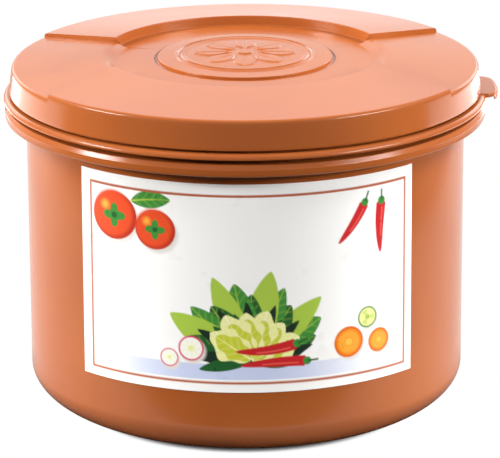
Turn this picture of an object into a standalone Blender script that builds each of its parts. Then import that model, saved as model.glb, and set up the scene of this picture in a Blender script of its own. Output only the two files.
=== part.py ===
# Round storage pot for kimchi, with a press-on outer lid, a press-down inner lid and a wrapped label.
# Metres, +Z up. The origin is the middle of the flat foot that the pot stands on.
# The label faces -Y and the outer lid's pull tab points to +X.

import math

import bmesh
import bpy

# Pot
POT_INNER_RADIUS = 0.0872
POT_WALL = 0.0024
WALL_DRAFT = 0.0002
FLOOR_THICKNESS = 0.0024
FOOT_RADIUS = 0.0555
FOOT_HEIGHT = 0.0015
BASE_CURVE_WIDTH = 0.0240
BASE_CURVE_HEIGHT = 0.0142
COLLAR_UNDERSIDE_Z = 0.1248
COLLAR_HEIGHT = 0.0051
COLLAR_WIDTH = 0.0086
COLLAR_WALL = 0.0019
COLLAR_SHOULDER_WIDTH = 0.0015
COLLAR_SHOULDER_HEIGHT = 0.0020
NECK_STEP = 0.0034
NECK_HEIGHT = 0.0122

# Outer lid
LID_WALL = 0.0018
LID_EDGE_THICKNESS = 0.0030
LID_RISE = 0.0040
LID_TURN = math.radians(2.0)
SKIRT_WALL = 0.0017
SKIRT_FLARE = 0.0015
FLANGE_GAP = 0.0012
FLANGE_THICKNESS = 0.0024
FLANGE_WIDTH = 0.0022
FLANGE_BEVEL = 0.0006
PLUG_RING_DEPTH = 0.0060
PLUG_RING_WALL = 0.0015
RECESS_RADIUS = 0.0575
RECESS_DEPTH = 0.0040
RECESS_WALL_SLOPE = 0.0010
RECESS_FLOOR_RISE = 0.0008
BOSS_RADIUS = 0.0356
BOSS_HEIGHT = 0.0009
BOSS_CROWN = 0.0012
BOSS_GROOVE_WIDTH = 0.0014
BOSS_GROOVE_DEPTH = 0.0006
SIDE_DROP_AT_RIM = 0.0015
SIDE_DROP_AT_RECESS = 0.0019
SIDE_ANGLE_BACK = math.radians(30.0)
SIDE_ANGLE_FRONT = math.radians(33.0)
SIDE_ANGLE_AT_RECESS = math.radians(24.0)
STEP_OVERRUN = 0.0100
POCKET_INSET = 0.0010
TAB_REACH = 0.0049
TAB_WIDTH = 0.0280
TAB_CORNER_RADIUS = 0.0060
TAB_LIFT = 0.0013
TAB_WALL = 0.0015
TAB_LIP_DROP = 0.0028

# Inner lid, its seal, handle and air valve
PLATE_THICKNESS = 0.0022
PLATE_GAP = 0.0016
PLATE_RIM_WALL = 0.0022
PLATE_UPSTAND = 0.0100
SEAL_HEIGHT = 0.0060
SEAL_BAND = 0.0013
SEAL_LIP = 0.0012
SEAL_LIP_HEIGHT = 0.0017
SEAL_LIP_CHAMFER = 0.0005
GROOVE_LIP = 0.0017
HANDLE_REACH = 0.0320
HANDLE_HALF_WIDTH = 0.0350
HANDLE_ARM_WIDTH = 0.0045
HANDLE_GRIP_DEPTH = 0.0090
HANDLE_THICKNESS = 0.0040
HANDLE_CORNER_RADIUS = 0.0120
HANDLE_PIVOT_HEIGHT = 0.0052
PIN_RADIUS = 0.0020
EAR_WALL = 0.0032
EAR_RADIUS = 0.0042
REST_RIB_OFFSET = 0.0158
REST_RIB_WIDTH = 0.0020
REST_RIB_LENGTH = 0.0040
HEAD_CLEARANCE = 0.0010
VALVE_OFFSET = 0.0500
VALVE_HOLE_RADIUS = 0.0050
VALVE_SEAT_RADIUS = 0.0090
VALVE_SEAT_HEIGHT = 0.0030
VALVE_SEAT_TAPER = 0.0005
PLUG_HEAD_RADIUS = 0.0085
PLUG_HEAD_HEIGHT = 0.0026
PLUG_HEAD_EDGE = 0.0016
PLUG_KNOB_RADIUS = 0.0038
PLUG_KNOB_HEIGHT = 0.0050
PLUG_WAIST_RADIUS = 0.0030
PLUG_STEM_LENGTH = 0.0075
PLUG_TIP_LENGTH = 0.0037
PLUG_TIP_TAPER = 0.0009

# Label
LABEL_WIDTH = 0.1475
LABEL_HEIGHT = 0.0856
LABEL_TOP_DROP = 0.0064
LABEL_THICKNESS = 0.0002

# Clearance between pieces that touch or slide
FIT_GAP = 0.0003

# Fillets: edges that a hand meets, other outer edges, and edges that only the mould rounds
ROUND_FILLET = 0.0010
EDGE_FILLET = 0.0007
MOULD_FILLET = 0.0004
COLLAR_FILLET = 0.0020
COLLAR_FACE_FILLET = 0.0034

# Facets round a full turn of a large and of a small turned piece, and round the label's arc
LARGE_STEPS = 48
SMALL_STEPS = 24
LABEL_STEPS = 24
MERGE_DISTANCE = 0.00001

# A fillet smaller than this is one flat, and a larger one is an arc
SMALL_FILLET = 0.0006

# Heights and radii that follow from the sizes above
floor_top = FOOT_HEIGHT + FLOOR_THICKNESS
base_curve_top = FOOT_HEIGHT + BASE_CURVE_HEIGHT
body_radius = POT_INNER_RADIUS + POT_WALL
collar_radius = body_radius + COLLAR_WIDTH
collar_top = COLLAR_UNDERSIDE_Z + COLLAR_HEIGHT
neck_inner_radius = POT_INNER_RADIUS + NECK_STEP
neck_outer_radius = neck_inner_radius + POT_WALL
neck_step_z = collar_top - COLLAR_WALL
rim_top = collar_top + NECK_HEIGHT

lid_seat_z = rim_top + FIT_GAP
lid_edge_z = lid_seat_z + LID_EDGE_THICKNESS
crown_z = lid_edge_z + LID_RISE
recess_floor_z = crown_z - RECESS_DEPTH
recess_floor_radius = RECESS_RADIUS - RECESS_WALL_SLOPE
lid_floor_underside_z = recess_floor_z - LID_WALL
skirt_inner_radius = neck_outer_radius + FIT_GAP
lid_edge_radius = skirt_inner_radius + SKIRT_WALL
skirt_bottom_radius = lid_edge_radius + SKIRT_FLARE
flange_bottom_z = collar_top + FLANGE_GAP
flange_top_z = flange_bottom_z + FLANGE_THICKNESS
flange_radius = skirt_bottom_radius + FLANGE_WIDTH
tab_top_z = flange_top_z + TAB_LIFT
tab_radius = flange_radius + TAB_REACH

crown_slope = LID_RISE / (lid_edge_radius - RECESS_RADIUS)
side_rise = LID_RISE - SIDE_DROP_AT_RECESS + SIDE_DROP_AT_RIM
side_slope = side_rise / (lid_edge_radius - RECESS_RADIUS)
plug_outer_radius = neck_inner_radius - FIT_GAP
plug_inner_radius = plug_outer_radius - PLUG_RING_WALL

plate_radius = POT_INNER_RADIUS - PLATE_GAP
inner_lid_z = lid_floor_underside_z - HEAD_CLEARANCE - HANDLE_REACH - HANDLE_PIVOT_HEIGHT


def collection(name):
    group = bpy.data.collections.new(name)
    bpy.context.scene.collection.children.link(group)
    return group


def material(name, color, roughness):
    mat = bpy.data.materials.new(name)
    mat.use_nodes = True
    shader = mat.node_tree.nodes["Principled BSDF"]
    shader.inputs["Base Color"].default_value = (*color, 1.0)
    shader.inputs["Roughness"].default_value = roughness
    shader.inputs["Metallic"].default_value = 0.0
    return mat


def arc(center, radius, start, end, count):
    # Points along an ellipse or circle; radius is a pair, angles are in radians.
    points = []
    for i in range(count + 1):
        angle = start + (end - start) * i / count
        points.append((center[0] + radius[0] * math.cos(angle), center[1] + radius[1] * math.sin(angle)))
    return points


def rounded(corners, closed, count=3):
    # Replaces each corner (x, y, fillet radius) by an arc that is tangent to both of its sides.
    points = []
    last = len(corners) - 1
    for i, (x, y, fillet) in enumerate(corners):
        at_end = not closed and i in (0, last)
        if fillet <= 0.0 or at_end:
            points.append((x, y))
            continue
        before = corners[i - 1]
        after = corners[(i + 1) % len(corners)]
        ax, ay = before[0] - x, before[1] - y
        bx, by = after[0] - x, after[1] - y
        a_length, b_length = math.hypot(ax, ay), math.hypot(bx, by)
        ax, ay, bx, by = ax / a_length, ay / a_length, bx / b_length, by / b_length
        half = 0.5 * math.acos(max(-1.0, min(1.0, ax * bx + ay * by)))
        setback = min(fillet / math.tan(half), 0.45 * a_length, 0.45 * b_length)
        radius = setback * math.tan(half)
        reach = radius / math.sin(half)
        mx, my = ax + bx, ay + by
        middle = math.hypot(mx, my)
        cx, cy = x + reach * mx / middle, y + reach * my / middle
        start = math.atan2(y + setback * ay - cy, x + setback * ax - cx)
        end = math.atan2(y + setback * by - cy, x + setback * bx - cx)
        turn = (end - start + math.pi) % (2.0 * math.pi) - math.pi
        flats = count if fillet >= SMALL_FILLET else 1
        points += arc((cx, cy), (radius, radius), start, start + turn, flats)
    return points


def new_object(name, mesh, group, mat=None):
    obj = bpy.data.objects.new(name, mesh)
    group.objects.link(obj)
    if mat:
        mesh.materials.append(mat)
    return obj


def turned(name, profile, group, mat=None, closed=False, steps=LARGE_STEPS, turn=2.0 * math.pi):
    # Revolves a profile of (radius, height) about Z. It runs down its outer side.
    mesh = bpy.data.meshes.new(name)
    edges = [(i, i + 1) for i in range(len(profile) - 1)]
    if closed:
        edges.append((len(profile) - 1, 0))
    mesh.from_pydata([(r, 0.0, z) for r, z in profile], edges, [])
    obj = new_object(name, mesh, group, mat)
    screw = obj.modifiers.new("Turn", "SCREW")
    screw.axis = "Z"
    screw.angle = turn
    screw.steps = steps
    screw.render_steps = steps
    screw.use_merge_vertices = True
    screw.merge_threshold = MERGE_DISTANCE
    screw.use_smooth_shade = True
    return obj


def prism(name, outlines, low, high, group, mat=None):
    # Extrudes flat outlines in the XY plane from the height low to the height high.
    curve = bpy.data.curves.new(name, "CURVE")
    curve.dimensions = "2D"
    curve.fill_mode = "BOTH"
    curve.extrude = 0.5 * (high - low)
    for outline in outlines:
        spline = curve.splines.new("POLY")
        spline.points.add(len(outline) - 1)
        for point, (x, y) in zip(spline.points, outline):
            point.co = (x, y, 0.0, 1.0)
        spline.use_cyclic_u = True
    drawn = bpy.data.objects.new(name + "_outline", curve)
    group.objects.link(drawn)
    bpy.context.view_layer.update()
    evaluated = drawn.evaluated_get(bpy.context.evaluated_depsgraph_get())
    mesh = bpy.data.meshes.new_from_object(evaluated)
    mesh.name = name
    bpy.data.objects.remove(drawn)
    weld = bmesh.new()
    weld.from_mesh(mesh)
    bmesh.ops.remove_doubles(weld, verts=weld.verts, dist=MERGE_DISTANCE)
    bmesh.ops.translate(weld, verts=weld.verts, vec=(0.0, 0.0, 0.5 * (low + high)))
    weld.to_mesh(mesh)
    weld.free()
    return new_object(name, mesh, group, mat)


def block(name, low, high, group):
    # A box between two corners.
    bm = bmesh.new()
    bmesh.ops.create_cube(bm, size=1.0)
    for vert in bm.verts:
        vert.co = [low[i] + (vert.co[i] + 0.5) * (high[i] - low[i]) for i in range(3)]
    mesh = bpy.data.meshes.new(name)
    bm.to_mesh(mesh)
    bm.free()
    return new_object(name, mesh, group)


def rod(name, start, end, radius, group, segments=SMALL_STEPS):
    # A cylinder along X from start to end, both (x, y, z).
    bm = bmesh.new()
    bmesh.ops.create_cone(
        bm, cap_ends=True, segments=segments, radius1=radius, radius2=radius, depth=end[0] - start[0]
    )
    mesh = bpy.data.meshes.new(name)
    bm.to_mesh(mesh)
    bm.free()
    obj = new_object(name, mesh, group)
    obj.location = (0.5 * (start[0] + end[0]), start[1], start[2])
    obj.rotation_euler = (0.0, 0.5 * math.pi, 0.0)
    return obj


def combine(target, tool, operation):
    # Joins, cuts or intersects target with tool, which is then only a guide.
    step = target.modifiers.new(operation.title() + " " + tool.name, "BOOLEAN")
    step.operation = operation
    step.solver = "EXACT"
    step.object = tool
    tool.hide_render = True
    tool.display_type = "WIRE"


def soften(obj, width):
    # Rounds the sharp edges of a prism or a union.
    bevel = obj.modifiers.new("Soften", "BEVEL")
    bevel.width = width
    bevel.segments = 2
    bevel.limit_method = "ANGLE"
    bevel.angle_limit = math.radians(40.0)


def make_pot(parts, mat):
    # One moulding: foot, curved lower edge, straight wall, hollow collar and stepped mouth.
    inner_curve = (BASE_CURVE_WIDTH - POT_WALL, BASE_CURVE_HEIGHT - FLOOR_THICKNESS)
    foot_inner = FOOT_RADIUS - POT_WALL
    lower_radius = body_radius - WALL_DRAFT
    pocket_radius = collar_radius - COLLAR_WALL
    pocket_top = collar_top - COLLAR_WALL
    inside = [(0.0, FLOOR_THICKNESS), (foot_inner, FLOOR_THICKNESS)]
    inside += [(foot_inner + FOOT_HEIGHT, floor_top)]
    inside += arc(
        (POT_INNER_RADIUS - inner_curve[0], floor_top + inner_curve[1]), inner_curve, -0.5 * math.pi, 0.0, 5
    )
    upper = [
        (POT_INNER_RADIUS, neck_step_z - POT_WALL, 0.0),
        (POT_INNER_RADIUS, neck_step_z, MOULD_FILLET),
        (neck_inner_radius, neck_step_z + NECK_STEP, ROUND_FILLET),
        (neck_inner_radius, rim_top, ROUND_FILLET),
        (neck_outer_radius, rim_top, ROUND_FILLET),
        (neck_outer_radius, collar_top, MOULD_FILLET),
        (collar_radius - COLLAR_SHOULDER_WIDTH, collar_top, MOULD_FILLET),
        (collar_radius, collar_top - COLLAR_SHOULDER_HEIGHT, COLLAR_FACE_FILLET),
        (collar_radius, COLLAR_UNDERSIDE_Z, EDGE_FILLET),
        (pocket_radius, COLLAR_UNDERSIDE_Z, 0.0),
        (pocket_radius, pocket_top, EDGE_FILLET),
        (body_radius, pocket_top, COLLAR_FILLET),
        (body_radius, COLLAR_UNDERSIDE_Z, 0.0),
    ]
    outside = arc(
        (lower_radius - BASE_CURVE_WIDTH, base_curve_top),
        (BASE_CURVE_WIDTH, BASE_CURVE_HEIGHT),
        0.0,
        -0.5 * math.pi,
        7,
    )
    foot = [(FOOT_RADIUS + FOOT_HEIGHT, FOOT_HEIGHT, 0.0), (FOOT_RADIUS, 0.0, MOULD_FILLET), (0.0, 0.0, 0.0)]
    mouth = rounded(upper, closed=False, count=2)[1:]
    profile = inside + mouth + outside + rounded(foot, closed=False, count=2)
    return turned("pot_body", profile, parts, mat)


def make_label(parts, mat):
    # A thin sheet wrapped round the front of the wall, its middle facing -Y.
    top = COLLAR_UNDERSIDE_Z - LABEL_TOP_DROP
    bottom = top - LABEL_HEIGHT
    span = COLLAR_UNDERSIDE_Z - base_curve_top
    wrap = LABEL_WIDTH / body_radius

    def wall_radius(z):
        return body_radius - WALL_DRAFT * (COLLAR_UNDERSIDE_Z - z) / span + FIT_GAP

    profile = [(wall_radius(top), top), (wall_radius(bottom), bottom)]
    label = turned("front_label", profile, parts, mat, steps=LABEL_STEPS, turn=wrap)
    label.rotation_euler.z = -0.5 * math.pi - 0.5 * wrap
    sheet = label.modifiers.new("Thickness", "SOLIDIFY")
    sheet.thickness = LABEL_THICKNESS
    sheet.offset = 1.0
    return label


def lid_profile():
    # The lid's section, from the middle of its top, round the skirt and back along its underside.
    near_boss_z = recess_floor_z + RECESS_FLOOR_RISE
    boss_edge_z = near_boss_z + BOSS_HEIGHT
    groove_z = near_boss_z - BOSS_GROOVE_DEPTH
    groove_radius = BOSS_RADIUS + BOSS_GROOVE_WIDTH
    plug_bottom_z = lid_seat_z - PLUG_RING_DEPTH
    under_radius = RECESS_RADIUS + LID_WALL
    under_boss_radius = BOSS_RADIUS - LID_WALL
    under_crown_z = crown_z - SIDE_DROP_AT_RECESS - LID_WALL
    under_edge_z = under_crown_z - side_slope * (plug_inner_radius - under_radius)

    crown = []
    for i in range(4):
        share = i / 4.0
        crown.append((BOSS_RADIUS * share, boss_edge_z + BOSS_CROWN * (1.0 - share**2), 0.0))
    under_crown = []
    for i in range(3):
        share = 1.0 - i / 2.0
        height = boss_edge_z + BOSS_CROWN * (1.0 - share**2) - LID_WALL
        under_crown.append((under_boss_radius * share, height, 0.0))
    corners = crown + [
        (BOSS_RADIUS, boss_edge_z, MOULD_FILLET),
        (BOSS_RADIUS, groove_z, 0.0),
        (groove_radius, groove_z, 0.0),
        (groove_radius, near_boss_z, 0.0),
        (recess_floor_radius, recess_floor_z, EDGE_FILLET),
        (RECESS_RADIUS, crown_z, EDGE_FILLET),
        (lid_edge_radius, lid_edge_z, EDGE_FILLET),
        (skirt_bottom_radius, flange_top_z, 0.0),
        (flange_radius, flange_top_z - FLANGE_BEVEL, EDGE_FILLET),
        (flange_radius, flange_bottom_z, EDGE_FILLET),
        (skirt_bottom_radius - SKIRT_WALL, flange_bottom_z, MOULD_FILLET),
        (skirt_inner_radius, lid_seat_z, 0.0),
        (plug_outer_radius, lid_seat_z, 0.0),
        (plug_outer_radius, plug_bottom_z, MOULD_FILLET),
        (plug_inner_radius, plug_bottom_z, MOULD_FILLET),
        (plug_inner_radius, under_edge_z, EDGE_FILLET),
        (under_radius, under_crown_z, EDGE_FILLET),
        (under_radius - RECESS_WALL_SLOPE, lid_floor_underside_z, MOULD_FILLET),
        (under_boss_radius + BOSS_HEIGHT, lid_floor_underside_z, 0.0),
    ]
    return rounded(corners + under_crown, closed=False, count=2)


def step_line(rim_angle, recess_angle, shift):
    # Both ends of one step in the lid's top, run on past the rim and into the recess, and moved
    # sideways by shift towards the raised stretch.
    rim_x, rim_y = lid_edge_radius * math.cos(rim_angle), lid_edge_radius * math.sin(rim_angle)
    recess_x, recess_y = RECESS_RADIUS * math.cos(recess_angle), RECESS_RADIUS * math.sin(recess_angle)
    length = math.hypot(rim_x - recess_x, rim_y - recess_y)
    along_x, along_y = (rim_x - recess_x) / length, (rim_y - recess_y) / length
    side = math.copysign(shift, rim_y)
    rim_end = (
        rim_x + STEP_OVERRUN * along_x - side * along_y,
        rim_y + STEP_OVERRUN * along_y + side * along_x,
    )
    recess_end = (
        recess_x - STEP_OVERRUN * along_x - side * along_y,
        recess_y - STEP_OVERRUN * along_y + side * along_x,
    )
    return rim_end, recess_end


def mirrored(outline):
    return [(-x, y) for x, y in outline]


def make_side_cutter(guides):
    # Lowers the top on the left and the right, between the raised front and back stretches.
    low_rim_z = lid_edge_z - SIDE_DROP_AT_RIM
    low_recess_z = crown_z - SIDE_DROP_AT_RECESS
    outer = lid_edge_radius + FLANGE_WIDTH
    inner = 0.5 * (recess_floor_radius + BOSS_RADIUS + BOSS_GROOVE_WIDTH)
    top = crown_z + LID_RISE
    section = [
        (inner, top),
        (outer, top),
        (outer, low_rim_z - side_slope * (outer - lid_edge_radius)),
        (inner, low_recess_z + side_slope * (RECESS_RADIUS - inner)),
    ]
    cutter = turned("side_cutter", section, guides, closed=True)
    cutter.rotation_euler.z = math.pi / LARGE_STEPS

    back_rim, back_recess = step_line(SIDE_ANGLE_BACK, SIDE_ANGLE_AT_RECESS, 0.0)
    front_rim, front_recess = step_line(-SIDE_ANGLE_FRONT, -SIDE_ANGLE_AT_RECESS, 0.0)
    beyond = outer + TAB_WIDTH
    right = [back_rim, back_recess, front_recess, front_rim, (beyond, front_rim[1]), (beyond, back_rim[1])]
    zone = prism("side_zone", [right, mirrored(right)], lid_floor_underside_z, top + LID_RISE, guides)
    combine(cutter, zone, "INTERSECT")
    return cutter, zone


def make_pocket_cutter(guides):
    # Hollows the raised stretches from below, so that the crown keeps one wall all round.
    def roof(radius):
        return crown_z - LID_WALL - crown_slope * (radius - RECESS_RADIUS)

    inner = RECESS_RADIUS + LID_WALL + POCKET_INSET
    outer = plug_inner_radius - POCKET_INSET
    section = [(inner, roof(inner)), (outer, roof(outer)), (outer, lid_seat_z), (inner, lid_seat_z)]
    cutter = turned("pocket_cutter", section, guides, closed=True)
    cutter.rotation_euler.z = math.pi / LARGE_STEPS

    beyond = outer + TAB_WIDTH
    outlines = []
    for rim_angle, side in ((SIDE_ANGLE_BACK, 1.0), (-SIDE_ANGLE_FRONT, -1.0)):
        rim_end, recess_end = step_line(rim_angle, side * SIDE_ANGLE_AT_RECESS, LID_WALL)
        half = [recess_end, rim_end, (beyond, side * beyond)]
        outlines.append(half + mirrored(half)[::-1])
    zone = prism("pocket_zone", outlines, lid_seat_z - LID_RISE, crown_z + LID_RISE, guides)
    combine(cutter, zone, "INTERSECT")
    return cutter, zone


def make_tab(guides):
    # The pull tab: a tongue above the flange whose outer edge turns down into a lip.
    root = skirt_bottom_radius - 0.5 * SKIRT_WALL
    lip_inner = tab_radius - TAB_WALL
    web_bottom = tab_top_z - TAB_WALL
    section = [
        (root, tab_top_z, 0.0),
        (tab_radius, tab_top_z, ROUND_FILLET),
        (tab_radius, tab_top_z - TAB_LIP_DROP, MOULD_FILLET),
        (lip_inner, tab_top_z - TAB_LIP_DROP, MOULD_FILLET),
        (lip_inner, web_bottom, MOULD_FILLET),
        (flange_radius - 0.5 * FLANGE_WIDTH, web_bottom, 0.0),
        (root, flange_bottom_z + 0.5 * FLANGE_THICKNESS, 0.0),
    ]
    tab = turned("tab_ring", rounded(section, closed=True, count=2), guides, closed=True)
    half = 0.5 * TAB_WIDTH
    reach = tab_radius + TAB_WALL
    outline = rounded(
        [
            (skirt_inner_radius, -half, 0.0),
            (reach - TAB_WALL, -half, TAB_CORNER_RADIUS),
            (reach, 0.0, 0.0),
            (reach - TAB_WALL, half, TAB_CORNER_RADIUS),
            (skirt_inner_radius, half, 0.0),
        ],
        closed=True,
        count=4,
    )
    shape = prism("tab_outline", [outline], flange_bottom_z - LID_RISE, tab_top_z + LID_RISE, guides)
    combine(tab, shape, "INTERSECT")
    return tab, shape


def make_outer_lid(parts, guides, mat):
    lid = turned("outer_lid", lid_profile(), parts, mat)
    side_cutter, side_zone = make_side_cutter(guides)
    pocket_cutter, pocket_zone = make_pocket_cutter(guides)
    tab, tab_outline = make_tab(guides)
    combine(lid, side_cutter, "DIFFERENCE")
    combine(lid, pocket_cutter, "DIFFERENCE")
    combine(lid, tab, "UNION")
    for guide in (side_cutter, side_zone, pocket_cutter, pocket_zone, tab, tab_outline):
        guide.parent = lid
    lid.rotation_euler.z = LID_TURN
    return lid


def make_inner_lid(parts, guides, mat):
    # A round plate with an upstand, and a channel round its edge that holds the seal.
    channel_bottom = -FIT_GAP - SEAL_HEIGHT
    channel_radius = POT_INNER_RADIUS - FIT_GAP - SEAL_LIP - SEAL_BAND - FIT_GAP
    rim_bottom = channel_bottom - GROOVE_LIP
    inner_radius = channel_radius - PLATE_RIM_WALL
    lip_top = FIT_GAP + GROOVE_LIP
    corners = [
        (0.0, 0.0, 0.0),
        (inner_radius, 0.0, ROUND_FILLET),
        (inner_radius, PLATE_UPSTAND, EDGE_FILLET),
        (inner_radius + PLATE_RIM_WALL, PLATE_UPSTAND, EDGE_FILLET),
        (channel_radius, lip_top, EDGE_FILLET),
        (plate_radius, lip_top, MOULD_FILLET),
        (plate_radius, FIT_GAP, MOULD_FILLET),
        (channel_radius, FIT_GAP, 0.0),
        (channel_radius, channel_bottom, 0.0),
        (plate_radius, channel_bottom, MOULD_FILLET),
        (plate_radius, rim_bottom, MOULD_FILLET),
        (inner_radius, rim_bottom, MOULD_FILLET),
        (inner_radius, -PLATE_THICKNESS, EDGE_FILLET),
        (0.0, -PLATE_THICKNESS, 0.0),
    ]
    plate = turned("inner_lid", rounded(corners, closed=False, count=2), parts, mat)
    plate.location.z = inner_lid_z

    # Raised seat of the air hole, then the hole through it and the plate.
    seat = [
        (0.0, VALVE_SEAT_HEIGHT),
        (VALVE_SEAT_RADIUS - VALVE_SEAT_TAPER, VALVE_SEAT_HEIGHT),
        (VALVE_SEAT_RADIUS, -0.5 * PLATE_THICKNESS),
        (0.0, -0.5 * PLATE_THICKNESS),
    ]
    valve_seat = turned("valve_seat", seat, guides, steps=SMALL_STEPS)
    valve_seat.location.y = -VALVE_OFFSET
    hole = [
        (0.0, 2.0 * VALVE_SEAT_HEIGHT),
        (VALVE_HOLE_RADIUS, 2.0 * VALVE_SEAT_HEIGHT),
        (VALVE_HOLE_RADIUS, -2.0 * PLATE_THICKNESS),
        (0.0, -2.0 * PLATE_THICKNESS),
    ]
    valve_hole = turned("valve_hole", hole, guides, steps=SMALL_STEPS)
    valve_hole.location.y = -VALVE_OFFSET
    valve_hole.rotation_euler.z = math.pi / SMALL_STEPS
    guides_used = [valve_seat, valve_hole]
    combine(plate, valve_seat, "UNION")
    combine(plate, valve_hole, "DIFFERENCE")

    # Two ears carry the handle's pins, and two low ribs carry the folded grip.
    ear_inner = HANDLE_HALF_WIDTH + FIT_GAP
    ear_outer = ear_inner + EAR_WALL
    rib_top = HANDLE_PIVOT_HEIGHT - 0.5 * HANDLE_THICKNESS - FIT_GAP
    rib_y = HANDLE_REACH - 0.5 * HANDLE_GRIP_DEPTH
    ear_outline = rounded(
        [
            (-EAR_RADIUS, -0.5 * PLATE_THICKNESS, 0.0),
            (EAR_RADIUS, -0.5 * PLATE_THICKNESS, 0.0),
            (EAR_RADIUS, HANDLE_PIVOT_HEIGHT + EAR_RADIUS, EAR_RADIUS),
            (-EAR_RADIUS, HANDLE_PIVOT_HEIGHT + EAR_RADIUS, EAR_RADIUS),
        ],
        closed=True,
        count=6,
    )
    for side in (-1.0, 1.0):
        label = "left" if side < 0.0 else "right"
        low_x = min(side * ear_inner, side * ear_outer)
        high_x = max(side * ear_inner, side * ear_outer)
        ear = prism("ear_" + label, [ear_outline], low_x, high_x, guides)
        ear.rotation_euler = (0.5 * math.pi, 0.0, 0.5 * math.pi)
        bore = rod(
            "ear_bore_" + label,
            (low_x - EAR_WALL, 0.0, HANDLE_PIVOT_HEIGHT),
            (high_x + EAR_WALL, 0.0, HANDLE_PIVOT_HEIGHT),
            PIN_RADIUS + FIT_GAP,
            guides,
        )
        rib_x = side * REST_RIB_OFFSET
        rib = block(
            "rest_rib_" + label,
            (rib_x - 0.5 * REST_RIB_WIDTH, rib_y - 0.5 * REST_RIB_LENGTH, -0.5 * PLATE_THICKNESS),
            (rib_x + 0.5 * REST_RIB_WIDTH, rib_y + 0.5 * REST_RIB_LENGTH, rib_top),
            guides,
        )
        combine(plate, ear, "UNION")
        combine(plate, bore, "DIFFERENCE")
        combine(plate, rib, "UNION")
        guides_used += [ear, bore, rib]
    for guide in guides_used:
        guide.parent = plate
    return plate


def make_seal(parts, mat):
    # A soft ring in the channel, with two lips that wipe the pot's wall.
    outer = POT_INNER_RADIUS - FIT_GAP
    band_outer = outer - SEAL_LIP
    inner = band_outer - SEAL_BAND
    top = 0.0
    bottom = -SEAL_HEIGHT
    lip_end = SEAL_LIP_HEIGHT + SEAL_LIP_CHAMFER
    profile = [
        (inner, top),
        (band_outer, top),
        (outer, top - SEAL_LIP_CHAMFER),
        (outer, top - SEAL_LIP_HEIGHT),
        (band_outer, top - lip_end),
        (band_outer, bottom + lip_end),
        (outer, bottom + SEAL_LIP_HEIGHT),
        (outer, bottom + SEAL_LIP_CHAMFER),
        (band_outer, bottom),
        (inner, bottom),
    ]
    seal = turned("inner_lid_seal", profile, parts, mat, closed=True)
    seal.location.z = inner_lid_z
    return seal


def make_handle(parts, guides, mat):
    # A flat bail that lies folded towards +Y. Its origin is on the hinge axis, which runs along X.
    half = HANDLE_HALF_WIDTH
    inner_half = half - HANDLE_ARM_WIDTH
    grip_inner = HANDLE_REACH - HANDLE_GRIP_DEPTH
    end = -0.5 * HANDLE_THICKNESS
    inner_corner = HANDLE_CORNER_RADIUS - HANDLE_ARM_WIDTH
    outline = rounded(
        [
            (half, end, 0.0),
            (half, HANDLE_REACH, HANDLE_CORNER_RADIUS),
            (-half, HANDLE_REACH, HANDLE_CORNER_RADIUS),
            (-half, end, 0.0),
            (-inner_half, end, 0.0),
            (-inner_half, grip_inner, inner_corner),
            (inner_half, grip_inner, inner_corner),
            (inner_half, end, 0.0),
        ],
        closed=True,
        count=4,
    )
    thick = 0.5 * HANDLE_THICKNESS
    handle = prism("inner_lid_handle", [outline], -thick, thick, parts, mat)
    handle.location.z = inner_lid_z + HANDLE_PIVOT_HEIGHT
    soften(handle, EDGE_FILLET)
    for side in (-1.0, 1.0):
        label = "left" if side < 0.0 else "right"
        near = side * (half - 0.5 * HANDLE_ARM_WIDTH)
        far = side * (half + FIT_GAP + EAR_WALL)
        pin = rod("pin_" + label, (min(near, far), 0.0, 0.0), (max(near, far), 0.0, 0.0), PIN_RADIUS, guides)
        pin.parent = handle
        combine(handle, pin, "UNION")
    return handle


def make_valve_plug(parts, mat):
    # A soft stopper for the air hole, pulled up by its knob.
    stem_radius = VALVE_HOLE_RADIUS - FIT_GAP
    knob_top = PLUG_HEAD_HEIGHT + PLUG_KNOB_HEIGHT
    corners = [
        (0.0, knob_top, 0.0),
        (PLUG_KNOB_RADIUS, knob_top, ROUND_FILLET),
        (PLUG_WAIST_RADIUS, PLUG_HEAD_HEIGHT, EDGE_FILLET),
        (PLUG_HEAD_RADIUS, PLUG_HEAD_EDGE, ROUND_FILLET),
        (PLUG_HEAD_RADIUS, 0.0, MOULD_FILLET),
        (stem_radius, 0.0, 0.0),
        (stem_radius, PLUG_TIP_LENGTH - PLUG_STEM_LENGTH, 0.0),
        (stem_radius - PLUG_TIP_TAPER, -PLUG_STEM_LENGTH, EDGE_FILLET),
        (0.0, -PLUG_STEM_LENGTH, 0.0),
    ]
    profile = rounded(corners, closed=False, count=2)
    plug = turned("valve_plug", profile, parts, mat, steps=SMALL_STEPS)
    plug.location = (0.0, -VALVE_OFFSET, inner_lid_z + VALVE_SEAT_HEIGHT + FIT_GAP)
    return plug


def main():
    for obj in list(bpy.data.objects):
        bpy.data.objects.remove(obj)
    parts = collection("kimchi_container")
    guides = collection("kimchi_container_cutters")
    clay = material("Clay-brown polypropylene", (0.78, 0.36, 0.19), 0.25)
    ivory = material("Ivory silicone", (0.86, 0.82, 0.72), 0.5)
    paper = material("Printed film", (0.90, 0.89, 0.86), 0.4)

    make_pot(parts, clay)
    make_label(parts, paper)
    make_outer_lid(parts, guides, clay)
    make_inner_lid(parts, guides, clay)
    make_seal(parts, ivory)
    make_handle(parts, guides, clay)
    make_valve_plug(parts, ivory)


main()
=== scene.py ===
# Kimchi container in glossy clay-coloured polypropylene, with a printed film label round its front.
# Sizes in the dictionaries are millimetres and degrees; meshes, lamps and camera are in metres.
import math

import bmesh
import bpy
import numpy as np
from mathutils import Matrix, Vector


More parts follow.
